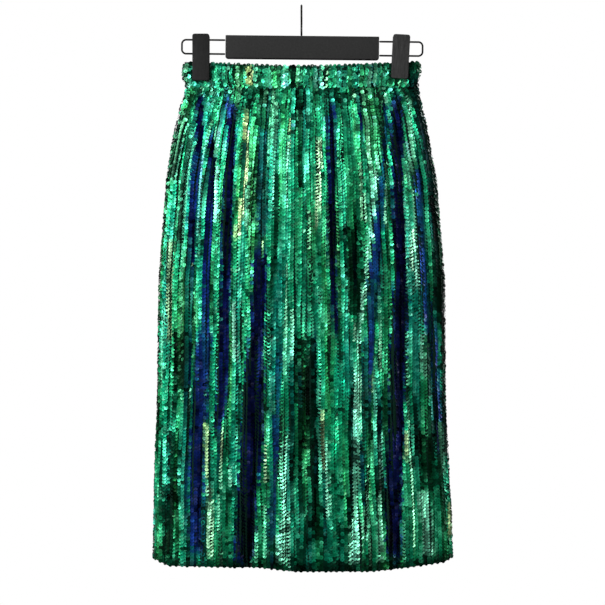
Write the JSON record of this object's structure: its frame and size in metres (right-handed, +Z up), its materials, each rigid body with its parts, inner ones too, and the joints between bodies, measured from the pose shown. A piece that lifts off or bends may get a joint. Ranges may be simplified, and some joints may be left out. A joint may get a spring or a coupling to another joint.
{
  "type": "sequin skirt on a clip hanger",
  "caption": "Knee-length tube skirt covered in green sequins, with a gathered elastic waist casing, hung by its waist from a black bar hanger with sliding clips and a wire hook.",
  "frame": {"origin": "inner top of the hanger's hook, where it rests on a rail", "axes": "+Z up, +X across the skirt towards the right of its front view, and the front faces -Y"},
  "size_m": [0.3845, 0.0657, 0.7277],
  "materials": {
    "sequin_cloth": "knit cloth covered with glossy metallic green sequins that turn blue and gold",
    "black_plastic": "satin black moulded plastic",
    "black_wire": "black coated steel wire"
  },
  "bodies": {
    "root": {"front_panel": "sequin_cloth", "back_panel": "sequin_cloth", "waistband": "sequin_cloth", "hanger_bar": "black_plastic", "wire_left": "black_wire", "wire_right": "black_wire", "hook": "black_wire", "clip_left_front_jaw": "black_plastic", "clip_left_back_jaw": "black_plastic", "clip_left_pin": "black_wire", "clip_right_front_jaw": "black_plastic", "clip_right_back_jaw": "black_plastic", "clip_right_pin": "black_wire"}
  },
  "joints": []
}
